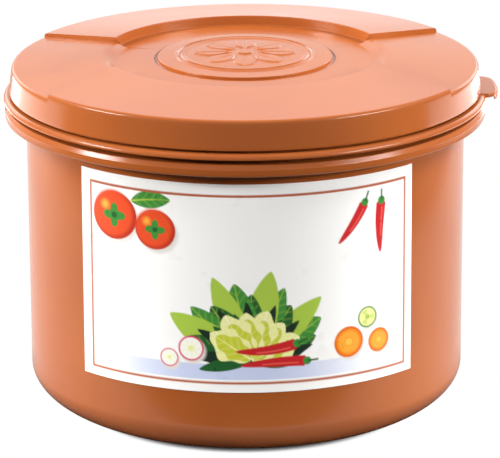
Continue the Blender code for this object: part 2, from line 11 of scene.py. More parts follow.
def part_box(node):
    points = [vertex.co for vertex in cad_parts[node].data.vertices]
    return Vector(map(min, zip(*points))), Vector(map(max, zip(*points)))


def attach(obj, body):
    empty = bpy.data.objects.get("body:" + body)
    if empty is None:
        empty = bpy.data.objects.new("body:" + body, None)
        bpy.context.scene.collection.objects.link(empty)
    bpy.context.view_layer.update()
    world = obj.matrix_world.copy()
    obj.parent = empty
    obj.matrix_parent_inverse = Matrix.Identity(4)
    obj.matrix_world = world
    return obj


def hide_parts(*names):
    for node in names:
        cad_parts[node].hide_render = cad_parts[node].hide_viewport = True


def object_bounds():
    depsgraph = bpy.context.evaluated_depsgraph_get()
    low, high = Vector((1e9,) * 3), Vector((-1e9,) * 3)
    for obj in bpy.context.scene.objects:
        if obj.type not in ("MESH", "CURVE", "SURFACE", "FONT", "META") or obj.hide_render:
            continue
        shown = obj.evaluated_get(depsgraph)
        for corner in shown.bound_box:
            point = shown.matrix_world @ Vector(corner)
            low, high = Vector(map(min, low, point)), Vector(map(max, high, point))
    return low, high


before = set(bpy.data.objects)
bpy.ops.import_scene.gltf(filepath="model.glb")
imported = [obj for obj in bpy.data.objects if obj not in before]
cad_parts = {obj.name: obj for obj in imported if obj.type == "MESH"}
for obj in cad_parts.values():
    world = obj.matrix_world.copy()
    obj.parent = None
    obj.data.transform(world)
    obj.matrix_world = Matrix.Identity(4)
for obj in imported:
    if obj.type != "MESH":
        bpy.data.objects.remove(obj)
cadLow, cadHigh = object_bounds()
mm = 0.001


def boxInMm(node):
    low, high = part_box(node)
    return np.array(low) / mm, np.array(high) / mm


def hexToLinear(code):
    # sRGB to linear light: c / 12.92 below 0.04045, else ((c + 0.055) / 1.055) to the power 2.4.
    srgb = np.array([int(code[i:i + 2], 16) for i in (0, 2, 4)]) / 255.0
    linear = np.where(srgb <= 0.04045, srgb / 12.92, ((srgb + 0.055) / 1.055) ** 2.4)
    return (*linear.tolist(), 1.0)


def smooth(x):
    # Smoothstep, 3x^2 - 2x^3 on 0 to 1.
    x = np.clip(x, 0.0, 1.0)
    return x * x * (3.0 - 2.0 * x)


# Paths and surfaces

def joined(*parts):
    # Arrays spread to one shape and set side by side as coordinates.
    return np.stack(np.broadcast_arrays(*parts), axis=-1)


def rotated(x, y, angle):
    return x * np.cos(angle) - y * np.sin(angle), x * np.sin(angle) + y * np.cos(angle)


def roundPath(corners, spacing, closed=False, arcSteps=5, like=None):
    # Each corner is (x, y) or (x, y, fillet radius). Straight runs are joined by tangent arcs: an arc's
    # centre is on its corner's bisector, radius / sin(half the corner's angle) away. Points on a run are
    # at (1 - cos) / 2, so that they gather beside the arcs; like is a path whose runs set their number.
    counted = np.array([corner[:2] for corner in like or corners])
    runs = np.linalg.norm(np.roll(counted, -1, axis=0) - counted, axis=1)
    counts = np.clip(np.round(runs / spacing).astype(int), 1, 40)
    places = np.array([corner[:2] for corner in corners], float)
    last = len(corners) - 1
    bends = []
    for i, place in enumerate(places):
        fillet = corners[i][2] if len(corners[i]) > 2 else 0.0
        if fillet == 0.0 or (not closed and i in (0, last)):
            bends.append(place[None])
            continue
        back = places[i - 1] - place
        ahead = places[(i + 1) % len(places)] - place
        backLength, aheadLength = np.linalg.norm(back), np.linalg.norm(ahead)
        back, ahead = back / backLength, ahead / aheadLength
        half = 0.5 * math.acos(np.clip(back @ ahead, -1.0, 1.0))
        setback = min(fillet / math.tan(half), 0.45 * backLength, 0.45 * aheadLength)
        radius = setback * math.tan(half)
        middle = (back + ahead) / np.linalg.norm(back + ahead)
        centre = place + middle * radius / math.sin(half)
        arm = place + setback * back - centre
        turn = math.copysign(math.pi - 2.0 * half, back[1] * ahead[0] - back[0] * ahead[1])
        bends.append(centre + joined(*rotated(*arm, np.linspace(0.0, turn, arcSteps + 1))))
    path = []
    for i, bend in enumerate(bends):
        path.append(bend)
        if i < last or closed:
            begin, end = bend[-1], bends[(i + 1) % len(bends)][0]
            share = 0.5 - 0.5 * np.cos(np.pi * np.arange(1, counts[i] + 1) / (counts[i] + 1))
            path.append(begin + (end - begin) * share[:, None])
    return np.vstack(path)


def gridShell(grid, closedAlong=False, capped=False):
    # A (rows, columns, 3) array as points and quads, closed across; capped closes each end with a face.
    rows, columns = grid.shape[:2]
    index = np.arange(rows * columns).reshape(rows, columns)
    ends = [index[0].tolist(), index[-1].tolist()] if capped else []
    if closedAlong:
        index = np.vstack([index, index[:1]])
    index = np.hstack([index, index[:, :1]])
    quads = joined(index[:-1, :-1], index[:-1, 1:], index[1:, 1:], index[1:, :-1])
    return grid.reshape(-1, 3), quads.reshape(-1, 4).tolist() + ends


def turned(path, columns, centre=(0.0, 0.0)):
    # A profile of (radius, height) turned about an upright axis: x = r cos a, y = r sin a, z = height.
    angle = np.linspace(0.0, 2.0 * np.pi, columns, endpoint=False)
    radius, height = path[:, 0, None], path[:, 1, None]
    return joined(centre[0] + radius * np.cos(angle), centre[1] + radius * np.sin(angle), height)


def addObject(name, data):
    made = bpy.data.objects.new(name, data)
    bpy.context.scene.collection.objects.link(made)
    return made


def makePiece(name, shells, body, node, material, sharpAngle=38.0):
    # Puts the shells into one mesh in metres, merges poles and seams, turns the faces outward and
    # lets the piece ride on its body in place of its plain solid.
    points, faces, start = [], [], 0
    for shellPoints, shellFaces in shells:
        points.append(shellPoints)
        faces += [[start + corner for corner in face] for face in shellFaces]
        start += len(shellPoints)
    mesh = bpy.data.meshes.new(name)
    mesh.from_pydata((np.vstack(points) * mm).tolist(), [], faces)
    weld = bmesh.new()
    weld.from_mesh(mesh)
    bmesh.ops.remove_doubles(weld, verts=weld.verts, dist=0.000002)
    bmesh.ops.recalc_face_normals(weld, faces=weld.faces)
    weld.to_mesh(mesh)
    weld.free()
    mesh.shade_smooth()
    mesh.set_sharp_from_angle(angle=math.radians(sharpAngle))
    mesh.materials.append(material)
    piece = addObject(name, mesh)
    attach(piece, body)
    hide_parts(node)
    triangles = len(mesh.loops) - 2 * len(mesh.polygons)
    print("made", name, "with", triangles, "triangles")
    return piece


# Materials

def feed(tree, node, inputs):
    # Links each input to another node's output, or gives it a value; a text is a colour's hex code.
    for key, value in inputs.items():
        if isinstance(value, bpy.types.NodeSocket):
            tree.links.new(value, node.inputs[key])
        else:
            node.inputs[key].default_value = hexToLinear(value) if isinstance(value, str) else value


def addNode(tree, kind, inputs=None, **settings):
    # A new node with its properties set and its inputs fed.
    node = tree.nodes.new(kind)
    for key, value in settings.items():
        setattr(node, key, value)
    feed(tree, node, inputs or {})
    return node


def startMaterial(name):
    # A new material, its tree, its Principled shader and its Object coordinates.
    material = bpy.data.materials.new(name)
    material.use_nodes = True
    tree = material.node_tree
    place = addNode(tree, "ShaderNodeTexCoord").outputs["Object"]
    return material, tree, tree.nodes["Principled BSDF"], place


def noise(tree, place, periodMm, detail=2.0):
    # Noise whose blotches are about periodMm across; Object coordinates are metres.
    inputs = {"Vector": place, "Scale": 1.0 / (periodMm * mm), "Detail": detail}
    return addNode(tree, "ShaderNodeTexNoise", inputs).outputs["Fac"]


def ranged(tree, value, fromLow, fromHigh, toLow, toHigh):
    inputs = {0: value, 1: fromLow, 2: fromHigh, 3: toLow, 4: toHigh}
    return addNode(tree, "ShaderNodeMapRange", inputs).outputs[0]


def combined(tree, operation, first, second):
    return addNode(tree, "ShaderNodeMath", {0: first, 1: second}, operation=operation).outputs[0]


def mixed(tree, share, first, second):
    # One colour turning into another; sockets 6 and 7 are the colour pair of the Mix node.
    inputs = {0: share, 6: first, 7: second}
    return addNode(tree, "ShaderNodeMix", inputs, data_type="RGBA").outputs[2]


def bumped(tree, height, depthMm):
    return addNode(tree, "ShaderNodeBump", {"Height": height, "Distance": depthMm * mm}).outputs["Normal"]


clayLook = {
    "base": "9D5123",  # fired-clay brown of the pellets
    "streak": "A55827",  # paler flow streaks of the moulding
    "mineral": "86461B",  # clay powder in the plastic
    "rubbed": "AE6B3C",  # edges that hands and cloths have polished
    "creviceShade": "3C1606",  # painted shade: dark brown deep in seams and grooves, where little light reaches
    "creviceShadeMm": 3.5,  # how near another surface has to be to count
    "creviceShadeRange": (0.08, 0.30),  # openness at which the painted shade is darkest, and gone
    "glossRange": (0.3, 0.7),  # openness at which the gloss is gone, and whole: painted shade on the reflections in seams
    "bending": 1.49,  # index of refraction
    "roughness": (0.17, 0.23),
    "streakMm": 55.0,
    "streakRange": (0.35, 0.65),  # noise at which a streak begins, and is full
    "mineralMm": 0.8,  # real powder is finer, and would not show
    "mineralRange": (0.66, 0.76),
    "mineralShare": 0.5,
    "rubbedRange": (0.52, 0.60),  # pointiness at which an edge begins to be rubbed, and is
    "rubbedShare": 0.35,
    "peelMm": 7.0,  # slow waviness that a polished mould leaves
    "peelDepthMm": 0.004,
}


def clayPolypropylene():
    # Clay-filled polypropylene, injection moulded in a polished tool: an even glossy skin with slow tone
    # changes along the flow, a trace of mineral powder and slightly wavy reflections. Seams, grooves and the
    # undersides of overhangs
    # get painted shade: a dark brown colour and less gloss.
    look = clayLook
    material, tree, shader, place = startMaterial("Clay-filled polypropylene, polished mould")
    streaks = noise(tree, place, look["streakMm"], 3.0)
    streaked = ranged(tree, streaks, *look["streakRange"], 0.0, 1.0)
    tone = mixed(tree, streaked, look["base"], look["streak"])
    powder = noise(tree, place, look["mineralMm"])
    grains = ranged(tree, powder, *look["mineralRange"], 0.0, look["mineralShare"])
    tone = mixed(tree, grains, tone, look["mineral"])
    sharpness = addNode(tree, "ShaderNodeNewGeometry").outputs["Pointiness"]
    edges = ranged(tree, sharpness, *look["rubbedRange"], 0.0, look["rubbedShare"])
    tone = mixed(tree, edges, tone, look["rubbed"])
    # Painted shade from how closed in a point is: dark brown colour and dimmed gloss in seams, grooves and
    # under overhangs.
    reach = {"Distance": look["creviceShadeMm"] * mm}
    openness = addNode(tree, "ShaderNodeAmbientOcclusion", reach, samples=8).outputs["AO"]
    depth = ranged(tree, openness, *look["creviceShadeRange"], 1.0, 0.0)
    feed(tree, shader, {
        "Base Color": mixed(tree, depth, tone, look["creviceShade"]),
        "Specular IOR Level": ranged(tree, openness, *look["glossRange"], 0.0, 0.5),
        "Roughness": ranged(tree, streaks, 0.3, 0.7, *look["roughness"]),
        "Normal": bumped(tree, noise(tree, place, look["peelMm"], 1.0), look["peelDepthMm"]),
        "IOR": look["bending"],
    })
    return material


siliconeLook = {
    "base": "DDD3BC",
    "shade": "CFC3A8",
    "bending": 1.41,
    "roughness": 0.5,
    "glow": 0.1,  # light that goes in and comes out again
    "blotchMm": 9.0,
    "grainMm": 0.6,  # texture of a blasted mould
    "grainDepthMm": 0.01,
}


def ivorySilicone():
    # Silicone rubber, compression moulded: a soft satin skin, faintly uneven in tone, with fine grain.
    look = siliconeLook
    material, tree, shader, place = startMaterial("Ivory silicone rubber, moulded")
    blotches = ranged(tree, noise(tree, place, look["blotchMm"]), 0.35, 0.65, 0.0, 1.0)
    feed(tree, shader, {
        "Base Color": mixed(tree, blotches, look["base"], look["shade"]),
        "Roughness": look["roughness"],
        "Normal": bumped(tree, noise(tree, place, look["grainMm"]), look["grainDepthMm"]),
        "IOR": look["bending"],
        "Subsurface Weight": look["glow"],
    })
    return material


filmLook = {
    "bending": 1.49,
    "roughness": (0.26, 0.36),
    "sheenMm": 18.0,
    "rippleMm": 26.0,
    "rippleDepthMm": 0.03,
}


def printedFilm():
    # White polypropylene film, offset printed and varnished: ink colours under a satin coat, with the
    # slow ripples of a sheet stuck on by hand.
    look = filmLook
    material, tree, shader, place = startMaterial("White film, offset printed and varnished")
    sheen = noise(tree, place, look["sheenMm"])
    feed(tree, shader, {
        "Base Color": addNode(tree, "ShaderNodeAttribute", attribute_name="ink").outputs["Color"],
        "Roughness": ranged(tree, sheen, 0.3, 0.7, *look["roughness"]),
        "Normal": bumped(tree, noise(tree, place, look["rippleMm"], 1.0), look["rippleDepthMm"]),
        "IOR": look["bending"],
    })
    return material


clay = clayPolypropylene()
silicone = ivorySilicone()
film = printedFilm()
print("materials ready")


# Pot

potShape = {
    "innerRadius": 87.2,
    "wall": 2.4,
    "draft": 0.2,  # how much narrower the wall is at its lower end
    "floor": 2.4,
    "footRadius": 55.5,
    "footHeight": 1.5,
    "footSlope": 1.0,  # width of the slope from the foot's rim to the underside
    "underside": 0.3,  # height of the hollow under the floor
    "baseCurve": (30.0, 17.0),  # width and height of the rounded lower edge, outside
    "innerCurve": (21.6, 11.8),  # and inside
    "curveSteps": (32, 24),  # outside and inside
    "collarUnderside": 123.6,
    "collarTop": 128.4,
    "collarWall": 1.6,
    "shoulder": (0.85, 1.9),  # the collar's sloping upper half, width and height
    "faceLean": 0.04,  # how far the lower half leans back
    "neckStep": 3.4,
    "columns": 256,
}


def quarterEllipse(centre, size, start, end, steps):
    # Points at centre + (width cos a, height sin a), with a from start to end.
    angle = np.linspace(start, end, steps + 1)
    return [(centre[0] + size[0] * math.cos(a), centre[1] + size[1] * math.sin(a)) for a in angle]


def makePot():
    # One closed turned wall: floor, curved lower edge, straight wall, hollow collar and stepped mouth.
    s = potShape
    collarRadius, _, rimTop = boxInMm("pot_body")[1]
    bodyRadius = s["innerRadius"] + s["wall"]
    lowerRadius = bodyRadius - s["draft"]
    neckInner = s["innerRadius"] + s["neckStep"]
    neckOuter = neckInner + s["wall"]
    stepHeight = s["collarTop"] - s["collarWall"]
    shoulderFoot = np.array([collarRadius - s["faceLean"], s["collarTop"] - s["shoulder"][1]])
    shoulderTop = shoulderFoot + (-s["shoulder"][0], s["shoulder"][1])
    flatStart, flatEnd = (tuple(shoulderTop + share * (shoulderFoot - shoulderTop)) for share in (0.2, 0.8))
    pocketRadius = collarRadius - s["collarWall"]
    floorTop = s["footHeight"] + s["floor"]
    footInner = s["footRadius"] - s["wall"]
    curveTop = s["footHeight"] + s["baseCurve"][1]
    innerCurve = s["innerCurve"]
    outerSteps, innerSteps = s["curveSteps"]
    innerCentre = (s["innerRadius"] - innerCurve[0], floorTop + innerCurve[1])
    outerCentre = (lowerRadius - s["baseCurve"][0], curveTop)
    corners = [(0.0, s["floor"]), (footInner, s["floor"], 0.5), (footInner + s["footHeight"], floorTop, 0.5)]
    corners += quarterEllipse(innerCentre, innerCurve, -0.5 * np.pi, 0.0, innerSteps)
    corners += [
        (s["innerRadius"], stepHeight, 1.0),
        (neckInner, stepHeight + s["neckStep"], 1.0),
        (neckInner, rimTop, 1.0),
        (neckOuter, rimTop, 1.0),
        (neckOuter, s["collarTop"], 0.5),
        (*shoulderTop, 0.3),
        flatStart,
        flatEnd,
        (*shoulderFoot, 0.6),
        (shoulderFoot[0] + 0.2 * s["faceLean"], shoulderFoot[1] - 0.5),
        (collarRadius, s["collarUnderside"], 1.1),
        (pocketRadius, s["collarUnderside"], 0.4),
        (pocketRadius, stepHeight, 0.8),
        (bodyRadius, stepHeight, 1.2),
    ]
    corners += quarterEllipse(outerCentre, s["baseCurve"], 0.0, -0.5 * np.pi, outerSteps)
    corners += [
        (s["footRadius"] + s["footHeight"], s["footHeight"], 0.4),
        (s["footRadius"], 0.0, 0.5),
        (footInner - s["footSlope"], 0.0, 0.3),
        (footInner - 2.0 * s["footSlope"], s["underside"], 0.3),
        (0.0, s["underside"]),
    ]
    path = roundPath(corners, 4.0)
    shell = gridShell(turned(path, s["columns"]))
    makePiece("pot", [shell], "pot", "pot_body", clay)


makePot()


# Outer lid

lidShape = {
    "turn": 2.0,  # how far the lid is turned from the label's middle
    "wall": 1.8,
    "draft": 0.1,  # slant of the groove's and the crease's walls
    "seatHeight": 142.4,
    "edgeHeight": 145.4,
    "edgeRadius": 95.0,
    "skirtInner": 93.3,
    "skirtWall": 1.7,
    "skirtFlare": 1.5,
    "flangeTop": 132.7,
    "flangeBottom": 130.6,
    "flangeFace": (1.8, 1.9),  # width and height of its rounded outer face
    "plugRadii": (90.3, 88.8),
    "plugDepth": 6.0,
    "recessRadius": 57.5,
    "recessDepth": 4.0,
    "recessSlope": 0.35,  # width of the slope of its wall, in front and behind
    "sideRecess": (57.5, 4.5, 6.0),  # radius, width of the slope and its rounding at the sides
    "floorRise": 0.8,
    "bossRadius": 35.6,
    "bossHeight": 0.9,
    "bossRim": (0.6, 0.05),  # width and rise of the flat edge round the boss's dome
    "bossCrown": 1.2,
    "underSlope": 0.9,  # slope of the boss's wall, seen from inside
    "groove": (1.4, 0.6),  # width and depth
    "sideDrop": (1.5, 1.9),  # at the rim, at the recess
    "stepAngles": (30.0, -33.0),  # at the rim, back and front
    "stepAngleInside": 24.0,  # at the recess, front and back alike
    "stepWidth": 0.03,  # degrees that a step's wall takes
    "stepColumns": (0.1, 0.3, 0.5, 0.9, 1.6),  # columns to each side of a step, in step widths
    "crease": (2.4, 1.0),  # depth and height of the groove over the flange
    "columns": 228,
    "domeRows": 61,
}

rosette = {
    "petals": 8,
    "petalReach": (5.4, 21.0),
    "petalHalfWidth": 4.9,
    "petalPowers": (1.25, 0.8),  # the first sets where a petal is widest, the second how blunt it is
    "vein": (0.45, 0.45),  # half width, and height as a share of the petal's
    "button": 3.4,
    "rings": ((24.6, 26.0), (27.4, 28.2)),
    "height": 0.5,
    "edge": 0.4,
}


def rosetteRelief(radius, angle):
    # Height of the raised ornament: a button, petals with a vein, and two rings, each with a soft edge. A
    # petal's half width is its greatest one times sin(pi t^p)^q, with t the share of its reach.
    s = rosette
    turn = 2.0 * np.pi / s["petals"]
    local = (angle + 0.5 * turn) % turn - 0.5 * turn
    start, end = s["petalReach"]
    widest, blunt = s["petalPowers"]
    veinWidth, veinHeight = s["vein"]
    along = np.clip((radius - start) / (end - start), 0.0, 1.0)
    across = np.abs(local) * radius
    petal = s["petalHalfWidth"] * np.sin(np.pi * along ** widest) ** blunt - across
    besideVein = smooth((across - veinWidth) / s["edge"])
    cover = np.minimum(smooth(petal / s["edge"]), veinHeight + (1.0 - veinHeight) * besideVein)
    cover = np.where((radius > start) & (radius < end), cover, 0.0)
    cover = np.maximum(cover, smooth((s["button"] - radius) / s["edge"]))
    for low, high in s["rings"]:
        ring = smooth((radius - low) / s["edge"] + 0.5) * smooth((high - radius) / s["edge"] + 0.5)
        cover = np.maximum(cover, ring)
    return s["height"] * cover


def lidCorners(raised):
    # The lid's section from the boss's edge outward over the top, down the skirt and back underneath.
    s = lidShape
    flangeRadius, crown = boxInMm("outer_lid")[1][1:]
    rimDrop, recessDrop = (0.0, 0.0) if raised else s["sideDrop"]
    recessFloor = crown - s["recessDepth"]
    nearBoss = recessFloor + s["floorRise"]
    bossEdge = nearBoss + s["bossHeight"]
    grooveFloor = nearBoss - s["groove"][1]
    grooveRadius = s["bossRadius"] + s["groove"][0]
    skirtBottom = s["edgeRadius"] + s["skirtFlare"]
    flare = s["skirtFlare"] * rimDrop / (s["edgeHeight"] - s["flangeTop"])
    plugBottom = s["seatHeight"] - s["plugDepth"]
    underRecess = s["recessRadius"] + s["wall"]
    slope = (crown - recessDrop - s["edgeHeight"] + rimDrop) / (s["edgeRadius"] - s["recessRadius"])
    underCrown = crown - recessDrop - s["wall"]
    underEdge = underCrown - slope * (s["plugRadii"][1] - underRecess)
    underFloor = recessFloor - s["wall"]
    creaseDepth, creaseHeight = s["crease"]
    recessRadius, slopeWidth, softness = (
        (s["recessRadius"], s["recessSlope"], 0.4) if raised else s["sideRecess"]
    )
    boss, bossWall = s["bossRadius"], s["bossRadius"] - s["wall"]
    plugOuter, plugInner = s["plugRadii"]
    faceWidth, faceHeight = s["flangeFace"]
    flangeFace = quarterEllipse(
        (flangeRadius - faceWidth, s["flangeTop"] - faceHeight), s["flangeFace"], 0.5 * np.pi, 0.0, 8
    )
    return [
        (boss - s["bossRim"][0], bossEdge + s["bossRim"][1]),
        (boss, bossEdge, 0.4),
        (boss + s["draft"], grooveFloor, 0.3),
        (grooveRadius - s["draft"], grooveFloor, 0.3),
        (grooveRadius, nearBoss, 0.3),
        (recessRadius - slopeWidth, recessFloor, softness),
        (recessRadius, crown - recessDrop, softness),
        (s["edgeRadius"] + flare, s["edgeHeight"] - rimDrop, 1.4),
        (skirtBottom - s["draft"], s["flangeTop"] + creaseHeight, 0.25),
        (skirtBottom - creaseDepth, s["flangeTop"] + creaseHeight - s["draft"], 0.15),
        (skirtBottom - creaseDepth, s["flangeTop"], 0.15),
        *flangeFace,
        (flangeRadius, s["flangeBottom"], 0.2),
        (skirtBottom - s["skirtWall"], s["flangeBottom"], 0.4),
        (s["skirtInner"], s["seatHeight"], 0.5),
        (plugOuter, s["seatHeight"], 0.4),
        (plugOuter, plugBottom, 0.5),
        (plugInner, plugBottom, 0.5),
        (plugInner, underEdge, 0.8),
        (underRecess, underCrown, 0.8),
        (underRecess - s["recessSlope"], underFloor, 0.5),
        (bossWall + s["underSlope"], underFloor, 0.4),
        (bossWall, bossEdge - s["wall"], 0.4),
        (0.0, bossEdge + s["bossCrown"] - s["wall"]),
    ]


def lidAngles():
    # Even columns, with close columns across each of the four steps in place of the even ones there.
    s = lidShape
    back, front = np.radians(s["stepAngles"])
    steps = np.array([back, front, np.pi - back, np.pi - front])
    even = np.linspace(-np.pi, np.pi, s["columns"], endpoint=False)
    apart = np.abs((even[:, None] - steps + np.pi) % (2.0 * np.pi) - np.pi).min(axis=1)
    beside = np.array(s["stepColumns"])
    close = np.radians(s["stepWidth"] * np.concatenate([-beside[::-1], beside]))
    around = (steps[:, None] + close + np.pi) % (2.0 * np.pi) - np.pi
    return np.sort(np.concatenate([even[apart > 1.4 * close[-1]], around.ravel()]))


def stepBend(radius, folded):
    # How far a column turns on its way inward, so that each step is straight: on a line at distance d
    # from the axis the angle changes as acos(d / r). Between the steps the turn falls evenly to nothing.
    s = lidShape
    outer, inner = s["edgeRadius"], s["recessRadius"]
    r = np.clip(radius, inner, outer)
    knots = np.radians([-90.0, s["stepAngles"][1], s["stepAngles"][0], 90.0])
    total = 0.0
    for rimAngle, weights in zip(s["stepAngles"], ((0.0, 0.0, 1.0, 0.0), (0.0, 1.0, 0.0, 0.0))):
        a, b = math.radians(rimAngle), math.copysign(math.radians(s["stepAngleInside"]), rimAngle)
        rim = np.array([outer * math.cos(a), outer * math.sin(a)])
        recess = np.array([inner * math.cos(b), inner * math.sin(b)])
        d = abs(rim[0] * recess[1] - rim[1] * recess[0]) / np.linalg.norm(rim - recess)
        share = (np.arccos(d / r) - np.arccos(d / outer)) / (np.arccos(d / inner) - np.arccos(d / outer))
        total = total + np.interp(folded, knots, weights) * (b - a) * share
    return total


def makeOuterLid():
    # The raised and the lowered section share their points one for one, so a point is
    # side + weight * (raised - side), where the weight is 1 in front and behind and 0 at the sides.
    s = lidShape
    corners = lidCorners(True)
    raised, side = roundPath(corners, 3.0), roundPath(lidCorners(False), 3.0, like=corners)
    domeRadius = np.linspace(0.0, raised[0, 0], s["domeRows"], endpoint=False)
    domeFall = s["bossCrown"] - s["bossRim"][1]
    domeHeight = raised[0, 1] + domeFall * (1.0 - (domeRadius / raised[0, 0]) ** 2)
    dome = joined(domeRadius, domeHeight)
    raised, side = np.vstack([dome, raised]), np.vstack([dome, side])

    angle = lidAngles()
    folded = np.where(np.cos(angle) >= 0.0, angle, np.pi - angle)
    folded = (folded + np.pi) % (2.0 * np.pi) - np.pi
    back, front = np.radians(s["stepAngles"])
    width = math.radians(s["stepWidth"])
    weight = 1.0 - smooth((folded - front) / width + 0.5) * smooth((back - folded) / width + 0.5)
    section = side[:, None] + weight[:, None] * (raised - side)[:, None]
    radius, height = section[..., 0], section[..., 1]
    bend = stepBend(raised[:, 0, None], folded[None, :])
    bent = angle + np.where(np.cos(angle) >= 0.0, bend, -bend) + math.radians(s["turn"])
    relief = rosetteRelief(radius, bent)
    relief[len(dome):] = 0.0
    grid = joined(radius * np.cos(bent), radius * np.sin(bent), height + relief)
    shells = [gridShell(grid), makeTabShell()]
    makePiece("outerLid", shells, "outer_lid", "outer_lid", clay)


tabShape = {
    "width": 28.0,
    "corner": (4.5, 12.0),  # along the reach and across
    "lift": 0.4,
    "wall": 1.8,
    "lipDrop": 3.4,
    "rootDepth": 0.8,  # how far its root reaches into the skirt
    "rootInset": 1.1,  # where its underside meets the flange, inward from the flange's edge
    "softEdge": 0.45,
    "edgeRows": (0.0, 0.1, 0.3, 0.6, 1.0),  # rows over the soft edge, in soft edges from the end
    "middleRows": 23,
}


def makeTabShell():
    # The pull tab: a hooked section in (radius, height), carried across the width that the rounded
    # outline allows at each radius. The rows at both ends shrink as 1 - sqrt(1 - x^2) to round the edges.
    s, lid = tabShape, lidShape
    reach, flangeRadius = boxInMm("outer_lid")[1][:2]
    top = lid["flangeTop"] + s["lift"]
    root = lid["edgeRadius"] + lid["skirtFlare"] - s["rootDepth"]
    lipInner = reach - s["wall"]
    corners = [
        (root, top),
        (reach, top, 1.6),
        (reach, top - s["lipDrop"], 0.6),
        (lipInner, top - s["lipDrop"], 0.6),
        (lipInner, top - s["wall"], 0.6),
        (flangeRadius - s["rootInset"], top - s["wall"], 0.0),
        (root, 0.5 * (lid["flangeBottom"] + lid["flangeTop"])),
    ]
    section = roundPath(corners, 1.0, closed=True)
    ahead = np.roll(section, -1, axis=0) - np.roll(section, 1, axis=0)
    inward = joined(ahead[:, 1], -ahead[:, 0]) / np.linalg.norm(ahead, axis=1)[:, None]
    half, soft = 0.5 * s["width"], s["softEdge"]
    cornerReach, cornerAcross = s["corner"]
    past = np.clip((section[:, 0] - reach) / cornerReach + 1.0, 0.0, 1.0)
    widest = half - cornerAcross * (1.0 - np.sqrt(1.0 - past ** 2))
    edge = np.array(s["edgeRows"])
    inset = soft * (1.0 - np.sqrt(1.0 - (1.0 - edge) ** 2))
    middle = np.linspace(-1.0, 1.0, s["middleRows"] + 2)[1:-1]
    share = np.pad(middle, len(edge), constant_values=(-1.0, 1.0))[:, None]
    gap = np.concatenate([soft * edge, np.full(len(middle), soft), soft * edge[::-1]])[:, None]
    depth = np.concatenate([inset, np.zeros(len(middle)), inset[::-1]])[:, None, None]
    across = share * (widest - gap)
    point = section + depth * inward
    along = np.sqrt(np.maximum(point[..., 0] ** 2 - across ** 2, 1.0))
    x, y = rotated(along, across, math.radians(lid["turn"]))
    return gridShell(joined(x, y, point[..., 1]), capped=True)


makeOuterLid()


# Inner lid with its seal, handle and valve plug

innerShape = {
    "plate": 2.2,
    "upstand": 10.0,
    "rimWall": 2.2,
    "channelRadius": 84.1,
    "sealHeight": 6.0,
    "grooveLip": 1.7,
    "play": 0.3,  # between the channel and the seal
    "holeRadius": 5.0,
    "holeOffset": -50.0,  # the air hole's place in front of the middle
    "seat": (9.0, 3.0),  # radius and height of the seat round the air hole
    "seatSlope": 0.5,
    "flatEdge": 1.5,  # rings this near the upstand are centred on the middle
    "pivot": 5.2,  # height of the handle's pins over the plate
    "ear": (4.2, 3.2),  # radius and thickness of the ears
    "bore": 2.3,
    "rib": (15.8, 27.5, 2.0, 4.0, 2.9),  # place across and back, width, length, height
    "ribRound": (0.7, 0.6),  # of its upright corners and of its top edge
    "columns": 200,
}


def plateTop():
    return boxInMm("inner_lid")[1][2] - innerShape["upstand"]


def makePlateShell():
    # Rings of radius q about centres that slide evenly from the air hole to the middle, with
    # y = offset * share + q sin a. The section is a closed loop, so the hole runs through.
    s = innerShape
    plateRadius = boxInMm("inner_lid")[1][0]
    inner = s["channelRadius"] - s["rimWall"]
    seatRadius, seatHeight = s["seat"]
    lipTop = s["play"] + s["grooveLip"]
    channelBottom = -s["play"] - s["sealHeight"]
    rimBottom = channelBottom - s["grooveLip"]
    corners = [
        (s["holeRadius"], -s["plate"], 0.4),
        (s["holeRadius"], seatHeight, 0.4),
        (seatRadius - s["seatSlope"], seatHeight, 0.8),
        (seatRadius, 0.0, 0.8),
        (inner, 0.0, 1.0),
        (inner, s["upstand"], 0.8),
        (s["channelRadius"], s["upstand"], 0.8),
        (s["channelRadius"], lipTop, 0.6),
        (plateRadius, lipTop, 0.4),
        (plateRadius, s["play"], 0.3),
        (s["channelRadius"], s["play"], 0.2),
        (s["channelRadius"], channelBottom, 0.2),
        (plateRadius, channelBottom, 0.3),
        (plateRadius, rimBottom, 0.4),
        (inner, rimBottom, 0.4),
        (inner, -s["plate"], 0.8),
    ]
    path = roundPath(corners, 3.0, closed=True)
    grid = turned(path, s["columns"])
    outermost, innermost = inner - s["flatEdge"], seatRadius + s["seatSlope"]
    share = np.clip((outermost - path[:, 0]) / (outermost - innermost), 0.0, 1.0)
    grid[..., 1] += s["holeOffset"] * share[:, None]
    grid[..., 2] += plateTop()
    return gridShell(grid, closedAlong=True)


def makeEarShell(side):
    # An ear round the pin's bore: an arc above the pin and a box below it, where the outline's distance
    # from the pin is the smaller of half width / |cos a| and depth / |sin a|.
    s = innerShape
    radius, wall = s["ear"]
    high = boxInMm("inner_lid_handle")[1]
    near = high[0] - wall
    depth = s["pivot"] + 0.5 * s["plate"]
    corners = [
        (s["bore"], near, 0.3),
        (s["bore"], near + wall, 0.3),
        (radius, near + wall, 0.5),
        (radius, near, 0.5),
    ]
    path = roundPath(corners, 1.0, closed=True)
    angle = np.linspace(0.0, 2.0 * np.pi, 72, endpoint=False)
    toSide = radius / np.maximum(np.abs(np.cos(angle)), 0.01)
    toBottom = depth / np.maximum(-np.sin(angle), 0.01)
    outline = np.where(np.sin(angle) >= 0.0, radius, np.minimum(toSide, toBottom))
    share = (path[:, 0, None] - s["bore"]) / (radius - s["bore"])
    distance = s["bore"] + share * (outline - s["bore"])
    z = plateTop() + s["pivot"] + distance * np.sin(angle)
    return gridShell(joined(side * path[:, 1, None], distance * np.cos(angle), z), closedAlong=True)


